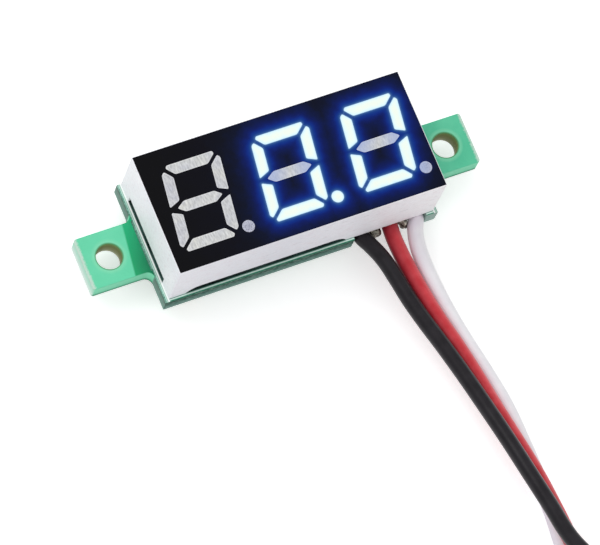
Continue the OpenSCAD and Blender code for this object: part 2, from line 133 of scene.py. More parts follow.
def addFloor(settings):
    mesh = bpy.data.meshes.new("floor")
    half = settings["floorHalf"]
    corners = [(-half, -half, 0), (half, -half, 0), (half, half, 0), (-half, half, 0)]
    mesh.from_pydata(corners, [], [(0, 1, 2, 3)])
    floor = bpy.data.objects.new("floor", mesh)
    scene.collection.objects.link(floor)
    material = bpy.data.materials.new("paperFloor")
    material.use_nodes = True
    tree = material.node_tree
    tree.nodes.clear()
    seen = seenBy(tree, "Camera", "Glossy", "Transmission")
    strength = mathNode(tree, "MULTIPLY", seen, settings["floorGlow"])
    paper = addNode(tree, "ShaderNodeBsdfDiffuse", {"Color": settings["floorColor"]})
    glow = addNode(tree, "ShaderNodeEmission", {"Color": pureWhite, "Strength": strength})
    total = addNode(tree, "ShaderNodeAddShader", {0: paper.outputs[0], 1: glow.outputs[0]})
    addNode(tree, "ShaderNodeOutputMaterial", {"Surface": total.outputs[0]})
    mesh.materials.append(material)


scene.view_settings.view_transform = "Standard"
addCamera(cameraSettings)
addLights(lightSettings)
addFloor(lightSettings)
print("panel meter: camera, floor and light ready")


# finishes; colours are written as they look, from 0 to 255, and noise in waves per mm
def shade(red, green, blue):
    return tuple(
        ((c / 255 + 0.055) / 1.055) ** 2.4 if c > 10 else c / 255 / 12.92
        for c in (red, green, blue)
    ) + (1,)


class Finish:
    def __init__(self, name, roughness=0.5, **sockets):
        self.material = bpy.data.materials.new(name)
        self.material.use_nodes = True
        self.tree = self.material.node_tree
        self.shader = self.tree.nodes["Principled BSDF"]
        self.shader.inputs["Roughness"].default_value = roughness
        for socket, value in sockets.items():
            self.shader.inputs[socket.replace("_", " ")].default_value = value
        self.place = self.add("ShaderNodeTexCoord").outputs["Object"]

    def add(self, kind, inputs=None, **settings):
        return addNode(self.tree, kind, inputs, **settings)

    def math(self, kind, first, second=0.0, third=0.0):
        return mathNode(self.tree, kind, first, second, third)

    def ramp(self, value, low, high, toLow=0.0, toHigh=1.0):
        inputs = {0: value, 1: low, 2: high, 3: toLow, 4: toHigh}
        return self.add("ShaderNodeMapRange", inputs).outputs[0]

    def share(self, value, toLow, toHigh):
        return self.ramp(value, 0, 1, toLow, toHigh)

    def mapped(self, scale, turn=(0, 0, 0)):
        inputs = {"Vector": self.place, "Rotation": turn, "Scale": scale}
        return self.add("ShaderNodeMapping", inputs).outputs[0]

    def noise(self, perMm, detail=3, low=0.35, high=0.65, stretch=None, turn=(0, 0, 0)):
        place = self.mapped(stretch, turn) if stretch else self.place
        inputs = {"Vector": place, "Scale": perMm * 1000, "Detail": detail}
        return self.ramp(self.add("ShaderNodeTexNoise", inputs).outputs[0], low, high)

    def mix(self, amount, first, second):
        inputs = {0: amount, 6: first, 7: second}
        return self.add("ShaderNodeMix", inputs, data_type="RGBA").outputs[2]

    def stops(self, value, *stops):
        made = self.add("ShaderNodeValToRGB", {0: value})
        elements = made.color_ramp.elements
        for at, *_ in stops[1:-1]:
            elements.new(at)
        for element, (at, *color) in zip(elements, stops):
            element.position, element.color = at, shade(*color)
        return made.outputs[0]

    def attribute(self, name):
        return self.add("ShaderNodeAttribute", attribute_name=name).outputs["Fac"]

    def split(self, vector):
        return self.add("ShaderNodeSeparateXYZ", {0: vector}).outputs

    def outward(self):
        return self.split(self.add("ShaderNodeNewGeometry").outputs["Normal"])

    def link(self, value, socket="Base Color"):
        self.tree.links.new(value, self.shader.inputs[socket])

    def glow(self, color, strength):
        self.link(color, "Emission Color")
        self.shader.inputs["Emission Strength"].default_value = strength

    def bump(self, height, depthMm, strength=1):
        inputs = {"Height": height, "Distance": depthMm * mm, "Strength": strength}
        self.link(self.add("ShaderNodeBump", inputs).outputs[0], "Normal")


def mottled(name, first, second, perMm, roughness, bumpMm):
    finish = Finish(name, roughness)
    finish.link(finish.mix(finish.noise(perMm), first, second))
    finish.bump(finish.noise(perMm * 3, 3, 0, 1), bumpMm)
    return finish.material


def dress(material, *names):
    for name in names:
        nodes[name].data.materials.clear()
        nodes[name].data.materials.append(material)


def mergedCopy(sources):
    made = bmesh.new()
    for source in sources:
        made.from_mesh(nodes[source].data)
    bmesh.ops.remove_doubles(made, verts=made.verts, dist=touch / 2)
    flat = math.radians(0.5)
    bmesh.ops.dissolve_limit(made, angle_limit=flat, verts=made.verts, edges=made.edges)
    return made


def addPiece(name, made, material, replaces=(), smooth=False):
    mesh = bpy.data.meshes.new(name)
    made.to_mesh(mesh)
    made.free()
    piece = bpy.data.objects.new(name, mesh)
    scene.collection.objects.link(piece)
    mesh.materials.clear()
    mesh.materials.append(material)
    if smooth:
        mesh.shade_smooth()
    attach(piece, "meter")
    if replaces:
        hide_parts(*replaces)
    return piece


# display: housing, black film, light pipes
displaySettings = {
    "lit": ["segment_%d%s" % (digit, letter) for digit in (2, 3) for letter in "abcdef"]
    + ["point_2"],
    "dark": ["segment_1" + letter for letter in "abcdefg"]
    + ["segment_2g", "segment_3g", "point_1", "point_3"],
    "upright": "bcef",  # segments that look a little cooler than the level ones
    "uprightCool": 0.22,
    "filmStep": 0.16,  # mm between the cuts that carry the glow
    "filmStepQuick": 0.5,
    "pipeStep": 0.12,
    "pipeStepQuick": 0.4,
    "glowReach": 8,  # mm
    "depthReach": 0.4,  # mm from a segment's edge to its full colour
    "edgeRound": 0.04,  # mm on the housing's outer edges
    "printLap": 0.1,  # mm that the black face runs out over the rim
    "brushTurn": 28,  # degrees of the brush marks on the unlit segments
    "frontFrom": -4.6,  # mm, where the painted light and shade on the housing's front wall begins
    "frontFull": -4.8,
    "halfLength": 11,
}


def topOutline(names):
    edges = []
    for name in names:
        made = mergedCopy([name])
        high = max(v.co.z for v in made.verts)
        for edge in made.edges:
            onTop = all(v.co.z > high - touch for v in edge.verts)
            if onTop and any(abs(face.normal.z) < 0.5 for face in edge.link_faces):
                edges.append([tuple(v.co.xy) for v in edge.verts])
        made.free()
    return np.array(edges)


def distanceTo(points, edges):
    best = np.full(len(points), 1e9)
    for start, end in edges:
        along = end - start
        share = np.clip(((points - start) @ along) / (along @ along), 0, 1)
        nearest = start + share[:, None] * along
        best = np.minimum(best, np.linalg.norm(points - nearest, axis=1))
    return best


def cutFinely(made, step):
    spots = [v.co for v in made.verts]
    for axis in (0, 1):
        low, high = min(p[axis] for p in spots), max(p[axis] for p in spots)
        normal = Vector((axis == 0, axis == 1, 0))
        at = low + step * mm
        while at < high - touch:
            everything = list(made.verts) + list(made.edges) + list(made.faces)
            bmesh.ops.bisect_plane(
                made, geom=everything, dist=1e-8, plane_co=normal * at, plane_no=normal
            )
            at += step * mm


def writeAttribute(piece, name, values):
    layer = piece.data.attributes.new(name, "FLOAT", "POINT")
    layer.data.foreach_set("value", np.asarray(values, dtype=np.float32))


def meshPoints(piece):
    spots = np.empty(len(piece.data.vertices) * 3, dtype=np.float64)
    piece.data.vertices.foreach_get("co", spots)
    return spots.reshape(-1, 3)


def writeSpill(piece, litEdges):
    far = distanceTo(meshPoints(piece)[:, :2], litEdges)
    writeAttribute(piece, "spill", far / (displaySettings["glowReach"] * mm))


def filmFinish():
    finish = Finish("blackFilm", 0.5, Specular_IOR_Level=0.08)
    clouds = finish.noise(1.6, 3, 0.3, 0.7)
    # painted glow: near the lit segments the black film is made to glow blue, in place of the halo
    # of their light
    reach = finish.math("MULTIPLY", finish.attribute("spill"), finish.share(clouds, 0.86, 1.14))
    spill = finish.stops(
        reach,
        (0, 80, 122, 174), (0.012, 40, 80, 144), (0.025, 12, 56, 136), (0.045, 0, 40, 128),
        (0.065, 0, 28, 108), (0.09, 0, 20, 88), (0.13, 0, 16, 67), (0.2, 0, 8, 38),
        (0.31, 0, 4, 23), (0.5, 0, 0, 12), (1, 0, 0, 3),
    )
    finish.glow(spill, 1)
    flecks = finish.noise(9, 2, 0.62, 0.8)
    finish.link(finish.mix(flecks, shade(10, 10, 11), shade(24, 24, 27)))
    finish.bump(finish.noise(14, 3, 0, 1), 0.004)
    return finish.material


def litFinish():
    finish = Finish("litSegments", 0.4, Specular_IOR_Level=0.2, Base_Color=shade(170, 178, 178))
    streaks = finish.noise(2.4, 4, 0.3, 0.7, stretch=(1, 0.45, 1))
    depth = finish.math("MULTIPLY", finish.attribute("depth"), finish.share(streaks, 0.55, 1.35))
    light = finish.stops(
        depth,
        (0, 120, 184, 240), (0.1, 186, 232, 250), (0.24, 206, 240, 246),
        (0.42, 222, 244, 238), (0.7, 232, 244, 228), (1, 236, 242, 222),
    )
    finish.glow(light, 0.62)
    finish.bump(streaks, 0.006)
    return finish.material


def darkFinish():
    finish = Finish("unlitSegments", 0.42, Specular_IOR_Level=0.3)
    depth, reach, cool = (finish.attribute(name) for name in ("depth", "spill", "cool"))
    turn = (0, 0, math.radians(displaySettings["brushTurn"]))
    brushed = finish.noise(7, 4, 0.3, 0.7, stretch=(1, 0.32, 1), turn=turn)
    patches = finish.noise(0.8, 2, 0.3, 0.7)
    base = finish.mix(patches, shade(240, 240, 231), shade(222, 224, 230))
    base = finish.mix(finish.share(brushed, 0.62, 0), base, shade(146, 146, 149))
    base = finish.mix(finish.ramp(depth, 0.02, 0.2, 0.45, 0), base, shade(255, 255, 255))

    # the unlit points show their chips as specks, and lit neighbours tint what lies close
    middle = finish.ramp(depth, 0.1, 1, 0, 1)
    point = finish.mix(middle, shade(196, 198, 216), shade(168, 170, 190))
    specks = finish.noise(11, 2, 0.52, 0.6)
    point = finish.mix(specks, point, shade(118, 118, 142))
    base = finish.mix(finish.math("MULTIPLY", cool, 0.85), base, point)
    # painted light: close to the lit segments the unlit ones are tinted blue-grey and given a faint
    # painted blue glow
    finish.link(finish.mix(finish.ramp(reach, 0.02, 0.22, 0.9, 0.06), base, shade(158, 170, 196)))
    cast = finish.mix(finish.ramp(reach, 0.02, 0.2, 1, 0), (0, 0, 0, 1), shade(50, 66, 112))
    finish.glow(cast, 1)
    finish.bump(brushed, 0.012)
    return finish.material


def pipePiece(name, names, material, litEdges):
    settings = displaySettings
    own = topOutline(names)
    made = mergedCopy(names)
    bmesh.ops.triangulate(made, faces=made.faces)
    cutFinely(made, settings["pipeStep"])
    piece = addPiece(name, made, material, replaces=names)
    spots = meshPoints(piece)
    depth = distanceTo(spots[:, :2], own) * (spots[:, 2] > spots[:, 2].max() - touch)
    writeAttribute(piece, "depth", depth / (settings["depthReach"] * mm))
    writeSpill(piece, litEdges)
    cool = np.zeros(len(spots))
    for source in names:
        low, high = (np.array(corner)[:2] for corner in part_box(source))
        slack = 10 * touch
        within = (spots[:, :2] >= low - slack) & (spots[:, :2] <= high + slack)
        inside = np.all(within, axis=1)
        if source.startswith("point"):
            cool[inside] = 1
        elif source[-1] in settings["upright"]:
            cool[inside] = np.maximum(cool[inside], settings["uprightCool"])
    writeAttribute(piece, "cool", cool)


def widenRecess(made):
    low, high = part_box("face_film")
    lap = displaySettings["printLap"] * mm
    for v in made.verts:
        if v.co.z < low[2] - touch:
            continue
        for axis in (0, 1):
            if abs(v.co[axis] - low[axis]) < touch:
                v.co[axis] -= lap
            elif abs(v.co[axis] - high[axis]) < touch:
                v.co[axis] += lap


def makeFilm(material, litEdges):
    made = mergedCopy(["face_film"])
    widenRecess(made)
    bmesh.ops.triangulate(made, faces=made.faces)
    cutFinely(made, displaySettings["filmStep"])
    piece = addPiece("blackFace", made, material, replaces=["face_film"])
    writeSpill(piece, litEdges)


def housingFinish():
    settings = displaySettings
    finish = Finish("whiteHousing", 0.48, Specular_IOR_Level=0.35)
    clouds = finish.noise(0.22, 3, 0.3, 0.7)
    base = finish.mix(clouds, shade(238, 239, 245), shade(248, 249, 252))
    x, y, _ = finish.split(finish.place)
    half = settings["halfLength"] * mm
    # painted light and shade on the front wall: darker in the middle, lighter towards the right end
    front = finish.stops(
        finish.ramp(x, -half, half),
        (0, 236, 236, 242), (0.4, 226, 226, 234), (0.8, 244, 243, 248), (1, 250, 249, 252),
    )
    inFront = finish.ramp(y, settings["frontFrom"] * mm, settings["frontFull"] * mm)
    base = finish.mix(inFront, base, front)
    blush = finish.noise(2.8, 4, 0.5, 0.75, stretch=(0.6, 1, 1))
    base = finish.mix(finish.share(blush, 0, 0.3), base, shade(226, 206, 214))
    grain = finish.noise(5.5, 3, 0.3, 0.75)
    base = finish.mix(finish.share(grain, 0, 0.1), base, shade(150, 150, 160))
    scratches = finish.noise(
        2.2, 2, 0.67, 0.72, stretch=(0.35, 2.6, 2.6), turn=(0.5, 0.6, 0.35)
    )
    base = finish.mix(finish.share(scratches, 0, 0.35), base, shade(150, 152, 160))
    finish.link(base)
    finish.link(finish.share(grain, 0.4, 0.6), "Roughness")
    cuts = finish.math("MULTIPLY", scratches, 1.5)
    finish.bump(finish.math("SUBTRACT", finish.noise(8, 3, 0, 1), cuts), 0.008)
    return finish.material


def makeHousing(material):
    made = mergedCopy(["display_housing"])
    widenRecess(made)
    low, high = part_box("display_housing")

    def onSide(v, axis):
        return min(abs(v.co[axis] - low[axis]), abs(v.co[axis] - high[axis])) < touch

    chosen = []
    for edge in made.edges:
        sides = [axis for axis in (0, 1) if all(onSide(v, axis) for v in edge.verts)]
        upright = len(sides) == 2
        rim = sides and all(abs(v.co.z - high[2]) < touch for v in edge.verts)
        if upright or rim:
            chosen.append(edge)
    bmesh.ops.bevel(
        made, geom=chosen, offset=displaySettings["edgeRound"] * mm, offset_type="OFFSET",
        segments=3, profile=0.5, affect="EDGES",
    )
    bmesh.ops.triangulate(made, faces=[f for f in made.faces if len(f.verts) > 4])
    addPiece("whiteHousing", made, material, replaces=["display_housing"])


litEdges = topOutline(displaySettings["lit"])
makeFilm(filmFinish(), litEdges)
pipePiece("litSegments", displaySettings["lit"], litFinish(), litEdges)
pipePiece("unlitSegments", displaySettings["dark"], darkFinish(), litEdges)
makeHousing(housingFinish())
dress(mottled("chipBoard", shade(52, 66, 58), shade(66, 78, 68), 2, 0.6, 0.01), "chip_board")
dress(mottled("ledDies", shade(150, 165, 205), shade(200, 205, 225), 5, 0.3, 0.004), "led_dies")
print("panel meter: display built")


# circuit board: zones of its finish, in mm from the board's middle
boardSettings = {
    "boardEnd": 11.6,
    "thickness": 1.6,
    "top": 3.4,
    "under": 1.801,
    "earFront": -2.3,
    "earBack": 2.0,
    "earEnd": 16.49,
    "bareEnd": 16.22,  # mask stops here, before the ear's end
    "filletRadius": 0.6,
    "filletSteps": 6,
    "filletLap": 0.01,
    "wallEnd": 11.25,  # the housing's outer faces
    "wallFront": -4.885,
    "wallBack": 5.115,
    "endStrip": 0.36,  # board that shows beside the housing
    "frontStrip": 0.23,
    "hole": (14.35, -0.15, 1.05),  # x, y, radius
    "bandEdge": 12.65,  # where the darker band beside the housing ends, on the ears
    "bandSlant": 0.138,
    "notchEnd": (9.2, 10.8),  # paler from here to here on the cut edge
    "pinDot": (-4.1, 1.45, 0),
    "pinDotRadius": 0.28,
}


def earColor(finish, x, y, far, fog, fine, holeReach):
    settings = boardSettings
    mint = finish.mix(finish.ramp(x, -12, 12), shade(103, 214, 170), shade(85, 195, 154))
    mint = finish.mix(finish.share(fog, 0, 0.3), mint, shade(126, 226, 186))
    # a darker, more saturated band on the ears beside the housing, with a slanted edge, lighter
    # towards the back
    slant = finish.math("MULTIPLY_ADD", y, settings["bandSlant"], far)
    inBand = finish.ramp(slant, settings["bandEdge"] + 0.12, settings["bandEdge"] - 0.02)
    bandColor = finish.mix(finish.ramp(far, 11.5, 12.9), shade(18, 122, 84), shade(34, 162, 106))
    bandColor = finish.mix(finish.ramp(y, -1.6, 2.2, 0, 0.8), bandColor, shade(38, 190, 130))
    color = finish.mix(inBand, mint, bandColor)

    # a pale ring and a dark rim round the hole, and the bare strip at the ear's end
    radius = settings["hole"][2]
    ring = finish.ramp(holeReach, radius + 0.42, radius + 0.2, 0, 0.4)
    color = finish.mix(ring, color, shade(150, 226, 186))
    rim = finish.ramp(holeReach, radius + 0.12, radius + 0.03, 0, 0.8)
    color = finish.mix(rim, color, shade(76, 134, 78))
    start = finish.share(fine, settings["bareEnd"] - 0.06, settings["bareEnd"] + 0.08)
    bare = finish.ramp(far, start, finish.math("ADD", start, 0.16))
    return finish.mix(finish.math("MULTIPLY", bare, 0.75), color, shade(214, 226, 218))


def stripColor(finish, x, y, far, fog):
    settings = boardSettings
    pastEnd = finish.math("SUBTRACT", far, settings["wallEnd"])
    before = finish.math("SUBTRACT", settings["wallFront"], y)
    behind = finish.math("SUBTRACT", y, settings["wallBack"])
    pastWall = finish.math("MAXIMUM", before, behind)
    # painted light and shade on the board's strips beside and in front of the housing: bright and
    # dark lines stand in for the lit and shaded faces of its edges, and in front the strip is
    # painted darker next to the wall
    atEnd = finish.stops(
        finish.ramp(pastEnd, 0, settings["endStrip"]),
        (0, 250, 255, 253), (0.34, 244, 252, 248), (0.46, 84, 156, 130),
        (0.58, 206, 238, 226), (0.8, 196, 232, 218), (1, 40, 120, 92),
    )
    inFront = finish.stops(
        finish.ramp(pastWall, 0, settings["frontStrip"]),
        (0, 66, 136, 114), (0.2, 140, 196, 176), (0.36, 244, 255, 250),
        (0.6, 222, 250, 238), (0.74, 60, 164, 130), (1, 10, 120, 84),
    )
    color = finish.mix(finish.ramp(pastEnd, 0.0, 0.01), inFront, atEnd)

    # painted shade under the display, seen through the slots, with a painted gleam lighter towards
    # the left end; the shade starts a little past the wall's foot
    gleam = finish.math("MULTIPLY", fog, finish.ramp(x, -10.4, -11, 0.5, 1))
    shadow = finish.mix(gleam, shade(8, 28, 25), shade(70, 104, 98))
    outside = finish.math("MAXIMUM", pastEnd, pastWall)
    return finish.mix(finish.ramp(outside, 0.01, -0.02), color, shadow)


def belowColor(finish, fog):
    weave = finish.noise(3, 2, 0.3, 0.7, stretch=(1, 3, 1))
    color = finish.mix(finish.share(fog, 0, 0.5), shade(46, 148, 104), shade(66, 168, 122))
    return finish.mix(finish.share(weave, 0, 0.18), color, shade(110, 196, 156))


def cutColor(finish, x, z, far, across, holeReach):
    settings = boardSettings
    depth = finish.math("SUBTRACT", settings["top"], z)
    through = finish.ramp(depth, 0, settings["thickness"])
    board = finish.stops(
        through,
        (0, 6, 100, 70), (0.12, 4, 70, 50), (0.3, 14, 62, 50),
        (0.55, 50, 98, 86), (0.8, 88, 126, 116), (1, 112, 148, 138),
    )
    fibres = finish.noise(3.2, 3, 0.4, 0.66, stretch=(1, 1, 2.2))
    board = finish.mix(finish.share(fibres, 0, 0.25), board, shade(176, 200, 190))
    lower = finish.ramp(depth, 0.1, 0.4, 0, 0.3)
    atEnd = finish.math("MULTIPLY", finish.math("ABSOLUTE", across), lower)
    board = finish.mix(atEnd, board, shade(170, 196, 186))
    board = finish.mix(finish.ramp(x, *settings["notchEnd"], 0, 0.6), board, shade(184, 208, 200))
    earSide = finish.stops(
        through,
        (0, 100, 206, 162), (0.16, 134, 222, 184), (0.72, 128, 214, 176),
        (0.86, 74, 166, 128), (1, 26, 104, 76),
    )
    earEnd = finish.stops(
        through,
        (0, 206, 212, 200), (0.14, 170, 220, 198), (0.5, 190, 226, 210), (1, 232, 242, 237),
    )
    atEarEnd = finish.ramp(far, settings["earEnd"] - 0.14, settings["earEnd"])
    ear = finish.mix(atEarEnd, earSide, earEnd)
    pastBoard = finish.ramp(far, settings["boardEnd"] + 0.001, settings["boardEnd"] + 0.02)
    color = finish.mix(pastBoard, board, ear)
    holeWall = finish.stops(
        through,
        (0, 104, 172, 116), (0.14, 132, 152, 92), (0.4, 134, 138, 92),
        (0.75, 166, 166, 130), (1, 206, 208, 184),
    )
    radius = settings["hole"][2]
    return finish.mix(finish.ramp(holeReach, radius + 0.02, radius + 0.01), color, holeWall)


def boardFinish():
    settings = boardSettings
    finish = Finish("boardMask", 0.34, Specular_IOR_Level=0.22)
    x, y, z = finish.split(finish.mapped((1000, 1000, 1000)))
    across, _, upright = finish.outward()
    upward = finish.math("ABSOLUTE", upright)
    far = finish.math("ABSOLUTE", x)
    fog = finish.noise(0.7, 3, 0.3, 0.7)
    fine = finish.noise(6, 3, 0.3, 0.7)
    offset = {
        0: finish.math("SUBTRACT", far, settings["hole"][0]),
        1: finish.math("SUBTRACT", y, settings["hole"][1]),
    }
    fromHole = finish.add("ShaderNodeCombineXYZ", offset).outputs[0]
    length = finish.add("ShaderNodeVectorMath", {0: fromHole}, operation="LENGTH")
    holeReach = length.outputs["Value"]

    onBoard = finish.ramp(far, settings["boardEnd"] + 0.001, settings["boardEnd"] - 0.001)
    ears = earColor(finish, x, y, far, fog, fine, holeReach)
    top = finish.mix(onBoard, ears, stripColor(finish, x, y, far, fog))
    flat = finish.mix(finish.ramp(upright, -0.6, 0.6), belowColor(finish, fog), top)
    cut = cutColor(finish, x, z, far, across, holeReach)
    groove = finish.mix(fine, shade(70, 128, 108), shade(150, 196, 180))
    isFlat = finish.ramp(upward, 0.85, 0.9)
    notFlat = finish.math("SUBTRACT", 1.0, isFlat)
    isGroove = finish.math("MULTIPLY", finish.ramp(upward, 0.4, 0.5), notFlat)
    finish.link(finish.mix(isGroove, finish.mix(isFlat, cut, flat), groove))
    finish.link(finish.share(isFlat, 0.75, 0.32), "Roughness")
    finish.bump(fine, 0.006)
    return finish.material


def metalFinish(name, color, roughness, grain, depth, stretch=None):
    finish = Finish(name, roughness, Metallic=1.0)
    patches = finish.noise(grain, 3, 0.3, 0.7, stretch=stretch)
    darker = tuple(c * 0.72 for c in color[:3]) + (1,)
    finish.link(finish.mix(patches, darker, color))
    finish.link(finish.share(patches, roughness + 0.15, roughness), "Roughness")
    finish.bump(finish.noise(grain * 2, 3, 0, 1, stretch=stretch), depth)
    return finish.material


def mouldingFinish():
    settings = boardSettings
    finish = Finish("blackMoulding", 0.55, Specular_IOR_Level=0.35)
    grain = finish.noise(12, 3, 0.3, 0.7)
    base = finish.mix(grain, shade(34, 34, 35), shade(52, 52, 54))
    inMm = finish.mapped((1000, 1000, 0))
    gap = finish.add(
        "ShaderNodeVectorMath", {0: inMm, 1: settings["pinDot"]}, operation="DISTANCE"
    ).outputs["Value"]
    radius = settings["pinDotRadius"]
    inDot = finish.ramp(gap, radius, radius - 0.04)
    finish.link(finish.mix(inDot, base, shade(26, 26, 27)))
    finish.link(finish.share(inDot, 0.58, 0.25), "Roughness")
    finish.bump(finish.math("SUBTRACT", grain, finish.math("MULTIPLY", inDot, 3.0)), 0.01)
    return finish.material


def resistorFinish():
    finish = Finish("chipResistors", 0.3)
    upright = finish.outward()[2]
    glaze = finish.mix(finish.noise(6, 2), shade(30, 30, 33), shade(46, 46, 50))
    finish.link(finish.mix(finish.ramp(upright, -0.95, -0.6), glaze, shade(228, 226, 220)))
    finish.bump(finish.noise(4, 2, 0, 1), 0.01)
    return finish.material


def fluxFinish():
    finish = Finish("fluxedSolder", 0.35, Metallic=0.6)
    patches = finish.noise(2.6, 3, 0.4, 0.6)
    finish.link(finish.mix(patches, shade(62, 54, 42), shade(176, 172, 160)))
    finish.bump(finish.noise(4, 3, 0, 1), 0.03)
    return finish.material


# routed inner corners between the board and its ears
def makeFillets(material):
    settings = boardSettings
    radius, lap, steps = settings["filletRadius"], settings["filletLap"], settings["filletSteps"]
    inner = settings["boardEnd"] - lap
    middleX = settings["boardEnd"] + radius
    made = bmesh.new()
    for side in (-1, 1):
        for edge, away in ((settings["earFront"], -1), (settings["earBack"], 1)):
            middleY = edge + away * radius
            outline = [(inner, edge - away * lap), (middleX, edge - away * lap)]
            for i in range(steps + 1):
                t = math.pi / 2 * i / steps
                across, along = radius * math.sin(t), radius * math.cos(t)
                outline.append((middleX - across, middleY - away * along))
            outline.append((inner, middleY))
            under, top = (
                [made.verts.new((side * x * mm, y * mm, settings[level] * mm)) for x, y in outline]
                for level in ("under", "top")
            )
            made.faces.new(under)
            made.faces.new(top)
            for i in range(len(outline)):
                j = (i + 1) % len(outline)
                made.faces.new((under[i], under[j], top[j], top[i]))
    bmesh.ops.recalc_face_normals(made, faces=made.faces)
    addPiece("earFillets", made, material)


tinned = metalFinish("tinnedMetal", shade(226, 226, 226), 0.2, 5, 0.006)
solderMetal = metalFinish("solder", shade(206, 207, 212), 0.3, 2.2, 0.02)
brass = metalFinish("brassRotor", shade(222, 190, 120), 0.28, 3, 0.01, stretch=(4, 0.6, 1))
tan = mottled("chipCapacitors", shade(176, 142, 104), shade(196, 164, 126), 3, 0.4, 0.01)
ceramic = mottled("trimmerCeramic", shade(232, 228, 214), shade(244, 241, 230), 2.5, 0.5, 0.012)
boardMask = boardFinish()
dress(boardMask, "circuit_board")
makeFillets(boardMask)
dress(tinned, "display_pins", "controller_leads", "regulator_leads", "diode_leads")
dress(tinned, "chip_ends", "trimmer_terminals", "wire_conductors")
dress(solderMetal, "pin_solder", "wire_solder")
dress(mouldingFinish(), "controller_chip", "voltage_regulator", "protection_diode")
dress(resistorFinish(), "chip_resistors")
dress(tan, "chip_capacitors")
dress(ceramic, "trimmer_body")
dress(brass, "trimmer_rotor")
print("panel meter: board and parts finished")


# underside copper, made by Geometry Nodes; sizes and places in mm
copperSettings = {
    "trace": {"width": 0.22, "height": 0.03},
    "via": {"inner": 0.09, "outer": 0.24, "height": 0.012},
    "ring": {"inner": 0.42, "outer": 0.8, "height": 0.02},
    "ringSides": 36,
    "landHeight": 0.02,
    "landMargins": {
        "chip_ends": 0.14,
        "controller_leads": 0.08,
        "regulator_leads": 0.14,
        "diode_leads": 0.14,
        "trimmer_terminals": 0.12,
    },
    "traces": [
        [(-6.35, 3.92), (-6.35, 3.2), (-5.5, 2.6), (-4.52, 2.6), (-4.52, 2.2)],
        [(-3.81, 3.92), (-3.81, 3.0), (-3.25, 2.5), (-3.25, 2.2)],
        [(-1.27, 3.92), (-1.27, 3.0), (-1.98, 2.5), (-1.98, 2.2)],
        [(1.27, 3.92), (1.27, 3.3), (0.2, 2.6), (-0.71, 2.6), (-0.71, 2.2)],
        [(-6.35, -3.7), (-6.35, -3.0), (-5.5, -2.4), (-4.52, -2.4), (-4.52, -2.0)],
        [(-3.81, -3.7), (-3.81, -2.9), (-3.25, -2.5), (-3.25, -2.0)],
        [(-1.27, -3.7), (-1.27, -2.9), (-1.98, -2.5), (-1.98, -2.0)],
        [(1.27, -3.7), (1.27, -3.0), (0.2, -2.4), (-0.71, -2.4), (-0.71, -2.0)],
        [(5.15, -2.96), (5.15, -2.2), (3.2, -2.2), (3.2, -1.6)],
        [(7.7, -2.96), (7.7, -2), (7.7, -1.1), (7.9, -1.1)],
        [(9.9, -2.96), (10.9, -2.4), (10.9, -1.1)],
        [(3.2, 1.8), (3.2, 2.6), (5.4, 2.6), (7.0, 2.6), (7.6, 3.0)],
        [(3.81, 3.92), (3.81, 3.4), (5.2, 3.2), (6.6, 3.2)],
        [(6.35, 3.92), (6.9, 4.4), (7.6, 4.4)],
        [(-8.4, 2.95), (-7.6, 2.95), (-7.2, 1.8), (-6.9, 1.2)],
        [(-8.4, -3.0), (-7.4, -3.0), (-6.9, -2.2)],
        [(8.6, 0.7), (6.2, 0.7), (5.2, 0.3)],
        [(8.6, 2.0), (6.4, 2.0), (5.4, 1.4), (1.9, 1.4)],
    ],
}


def startTree(name, *labels):
    tree = bpy.data.node_groups.new(name, "GeometryNodeTree")
    geometry, number, finish = (
        "NodeSocket" + kind for kind in ("Geometry", "Float", "Material")
    )
    tree.interface.new_socket("Geometry", in_out="INPUT", socket_type=geometry)
    for label in labels:
        tree.interface.new_socket(label, in_out="INPUT", socket_type=number)
    tree.interface.new_socket("finish", in_out="INPUT", socket_type=finish)
    tree.interface.new_socket("Geometry", in_out="OUTPUT", socket_type=geometry)
    return tree, addNode(tree, "NodeGroupInput").outputs


def endTree(tree, shape, finish):
    real = addNode(tree, "GeometryNodeRealizeInstances", {0: shape}).outputs[0]
    inputs = {"Geometry": real, "Material": finish}
    coated = addNode(tree, "GeometryNodeSetMaterial", inputs).outputs[0]
    addNode(tree, "NodeGroupOutput", {0: coated})
    return tree


def sweep(tree, curve, width, height, caps):
    level = addNode(tree, "GeometryNodeSetCurveNormal", {"Curve": curve}).outputs[0]
    flat = {0: height, 1: width}
    profile = addNode(tree, "GeometryNodeCurvePrimitiveQuadrilateral", flat).outputs[0]
    inputs = {"Curve": level, "Profile Curve": profile, "Fill Caps": caps}
    return addNode(tree, "GeometryNodeCurveToMesh", inputs).outputs[0]


def traceTree():
    tree, given = startTree("layTraces", "width", "height")
    curve = addNode(tree, "GeometryNodeMeshToCurve", {0: given["Geometry"]}).outputs[0]
    made = sweep(tree, curve, given["width"], given["height"], True)
    return endTree(tree, made, given["finish"])


def ringTree():
    tree, given = startTree("ringPads", "inner", "outer", "height")
    both = mathNode(tree, "ADD", given["inner"], given["outer"])
    inputs = {
        "Resolution": copperSettings["ringSides"],
        "Radius": mathNode(tree, "MULTIPLY", both, 0.5),
    }
    circle = addNode(tree, "GeometryNodeCurvePrimitiveCircle", inputs).outputs[0]
    width = mathNode(tree, "SUBTRACT", given["outer"], given["inner"])
    ring = sweep(tree, circle, width, given["height"], False)
    inputs = {"Points": given["Geometry"], "Instance": ring}
    placed = addNode(tree, "GeometryNodeInstanceOnPoints", inputs).outputs[0]
    return endTree(tree, placed, given["finish"])


